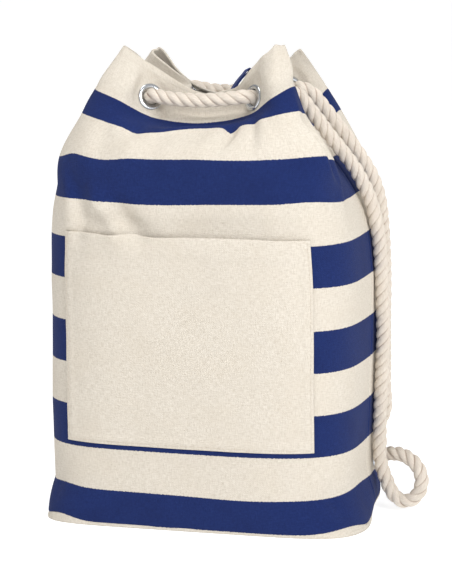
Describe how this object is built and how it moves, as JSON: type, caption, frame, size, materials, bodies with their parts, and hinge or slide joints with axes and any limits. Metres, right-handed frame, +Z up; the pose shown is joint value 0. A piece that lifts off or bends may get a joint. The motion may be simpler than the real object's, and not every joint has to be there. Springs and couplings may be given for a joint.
{
  "type": "drawstring canvas duffel sack",
  "caption": "Upright striped canvas duffel sack with a patch pocket, eyelets round a gathered mouth and a cotton rope that closes it and hangs down one side as a sling.",
  "frame": {"origin": "middle of the wall's plan on the ground, at the ground_face mount; the sling rope and the spread front right corner of the foot are left out", "axes": "+Z up, the pocket faces -Y, the sling hangs on +X"},
  "size_m": [0.355, 0.2459, 0.453],
  "materials": {
    "striped_canvas": "woven cotton canvas, printed navy and natural bands, matte",
    "natural_canvas": "woven unbleached cotton canvas, matte",
    "navy_tape": "woven cotton tape, matte",
    "cotton_rope": "three-strand twisted cotton, soft and matte",
    "nickel": "polished nickel plate"
  },
  "bodies": {
    "root": {"front_panel": "striped_canvas", "back_panel": "striped_canvas", "base_panel": "natural_canvas", "pocket_panel": "natural_canvas", "hanging_loop": "navy_tape", "eyelet_front_right": "nickel", "washer_front_right": "nickel", "eyelet_right_front": "nickel", "washer_right_front": "nickel", "eyelet_right_back": "nickel", "washer_right_back": "nickel", "eyelet_back_right": "nickel", "washer_back_right": "nickel", "eyelet_back_left": "nickel", "washer_back_left": "nickel", "eyelet_left_back": "nickel", "washer_left_back": "nickel", "eyelet_left_front": "nickel", "washer_left_front": "nickel", "eyelet_front_left": "nickel", "washer_front_left": "nickel", "eyelet_anchor_low": "nickel", "washer_anchor_low": "nickel", "eyelet_anchor_high": "nickel", "washer_anchor_high": "nickel", "rope_front_strand": "cotton_rope", "rope_mouth_line": "cotton_rope", "rope_back_strand": "cotton_rope", "knot_low": "cotton_rope", "knot_high": "cotton_rope"}
  },
  "joints": []
}
